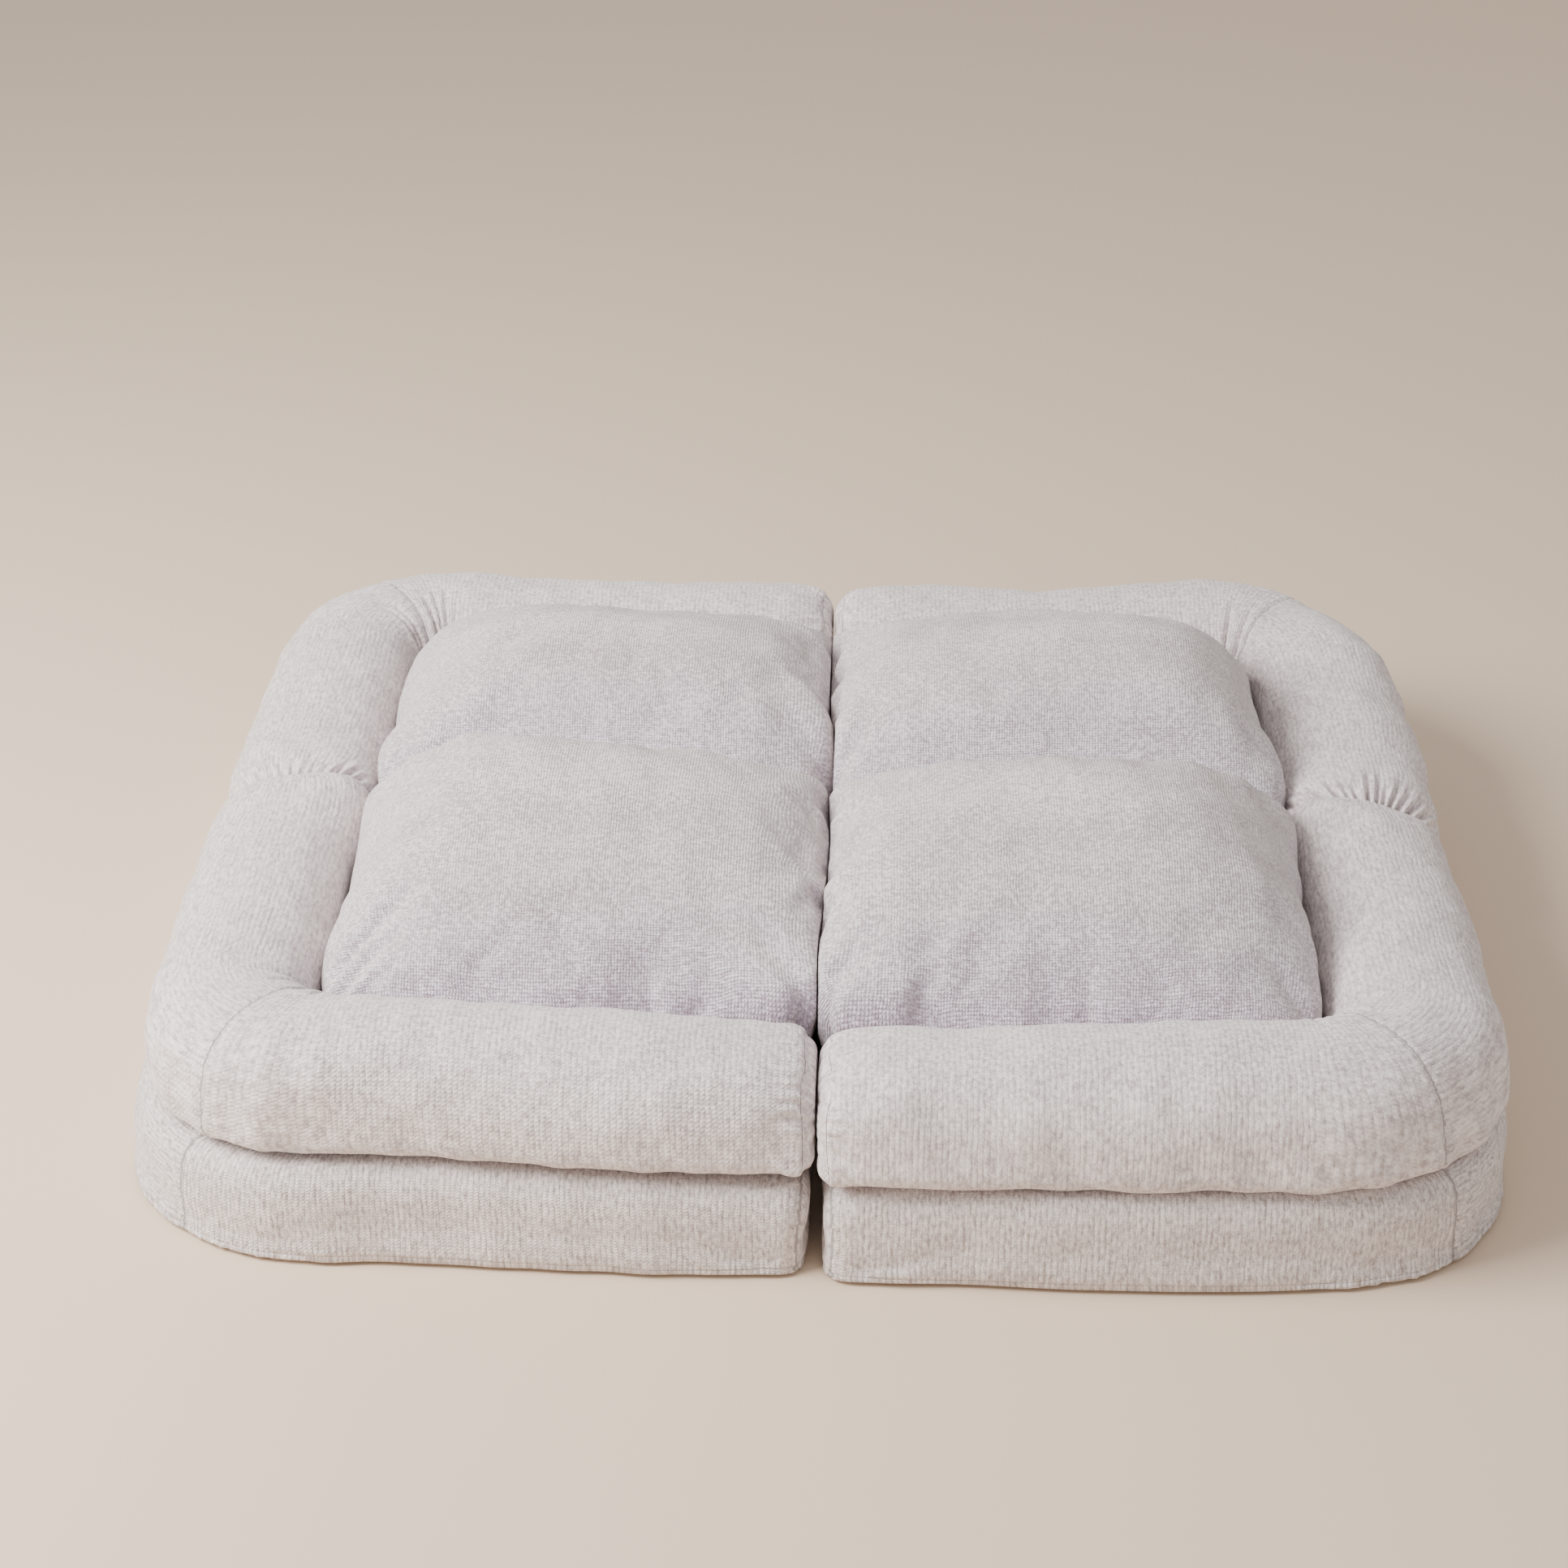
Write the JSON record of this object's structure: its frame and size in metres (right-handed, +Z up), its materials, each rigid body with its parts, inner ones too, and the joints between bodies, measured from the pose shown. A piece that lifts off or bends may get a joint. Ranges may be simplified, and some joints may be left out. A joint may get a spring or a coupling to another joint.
{
  "type": "sofa bed",
  "caption": "Low folding sofa bed of padded quarters, each with a boxed base, an L-shaped bolster and a crowned cushion; the rear ones lift as a backrest.",
  "frame": {"origin": "on the floor under the middle of the bed", "axes": "+X to the right along the width, +Y towards the rear half that lifts as the backrest, +Z up"},
  "size_m": [1, 0.883, 0.2333],
  "materials": {
    "chenille": "soft ribbed chenille, pale lavender grey",
    "basket_weave": "soft fine basket weave, pale lavender grey",
    "underside": "matt non-slip cloth",
    "foam": "open-cell upholstery foam",
    "fibre": "loose polyester fibre"
  },
  "bodies": {
    "front_left": {"front_left_base_cover": "chenille", "front_left_base_foam": "foam", "front_left_base_bottom": "underside", "front_left_bolster_cover": "chenille", "front_left_bolster_filling": "fibre", "front_left_bolster_end_panel": "chenille", "front_left_cushion_cover": "basket_weave", "front_left_cushion_filling": "fibre", "fold_welt_left": "basket_weave"},
    "front_right": {"front_right_base_cover": "chenille", "front_right_base_foam": "foam", "front_right_base_bottom": "underside", "front_right_bolster_cover": "chenille", "front_right_bolster_filling": "fibre", "front_right_bolster_end_panel": "chenille", "front_right_cushion_cover": "basket_weave", "front_right_cushion_filling": "fibre", "fold_welt_right": "basket_weave"},
    "rear_left": {"rear_left_base_cover": "chenille", "rear_left_base_foam": "foam", "rear_left_base_bottom": "underside", "rear_left_bolster_cover": "chenille", "rear_left_bolster_filling": "fibre", "rear_left_bolster_end_panel": "chenille", "rear_left_cushion_cover": "basket_weave", "rear_left_cushion_filling": "fibre"},
    "rear_right": {"rear_right_base_cover": "chenille", "rear_right_base_foam": "foam", "rear_right_base_bottom": "underside", "rear_right_bolster_cover": "chenille", "rear_right_bolster_filling": "fibre", "rear_right_bolster_end_panel": "chenille", "rear_right_cushion_cover": "basket_weave", "rear_right_cushion_filling": "fibre"}
  },
  "joints": [
    {"name": "left_fold", "type": "hinge", "parent": "front_left", "child": "rear_left", "pos_m": [-0.25, 0.0055, 0.156], "axis": [1, 0, 0], "range_deg": [0, 75]},
    {"name": "half_slide", "type": "slide", "parent": "front_left", "child": "front_right", "axis": [1, 0, 0], "range_m": [0, 0.3]},
    {"name": "right_fold", "type": "hinge", "parent": "front_right", "child": "rear_right", "pos_m": [0.25, -0.0055, 0.156], "axis": [1, 0, 0], "range_deg": [0, 75]}
  ]
}
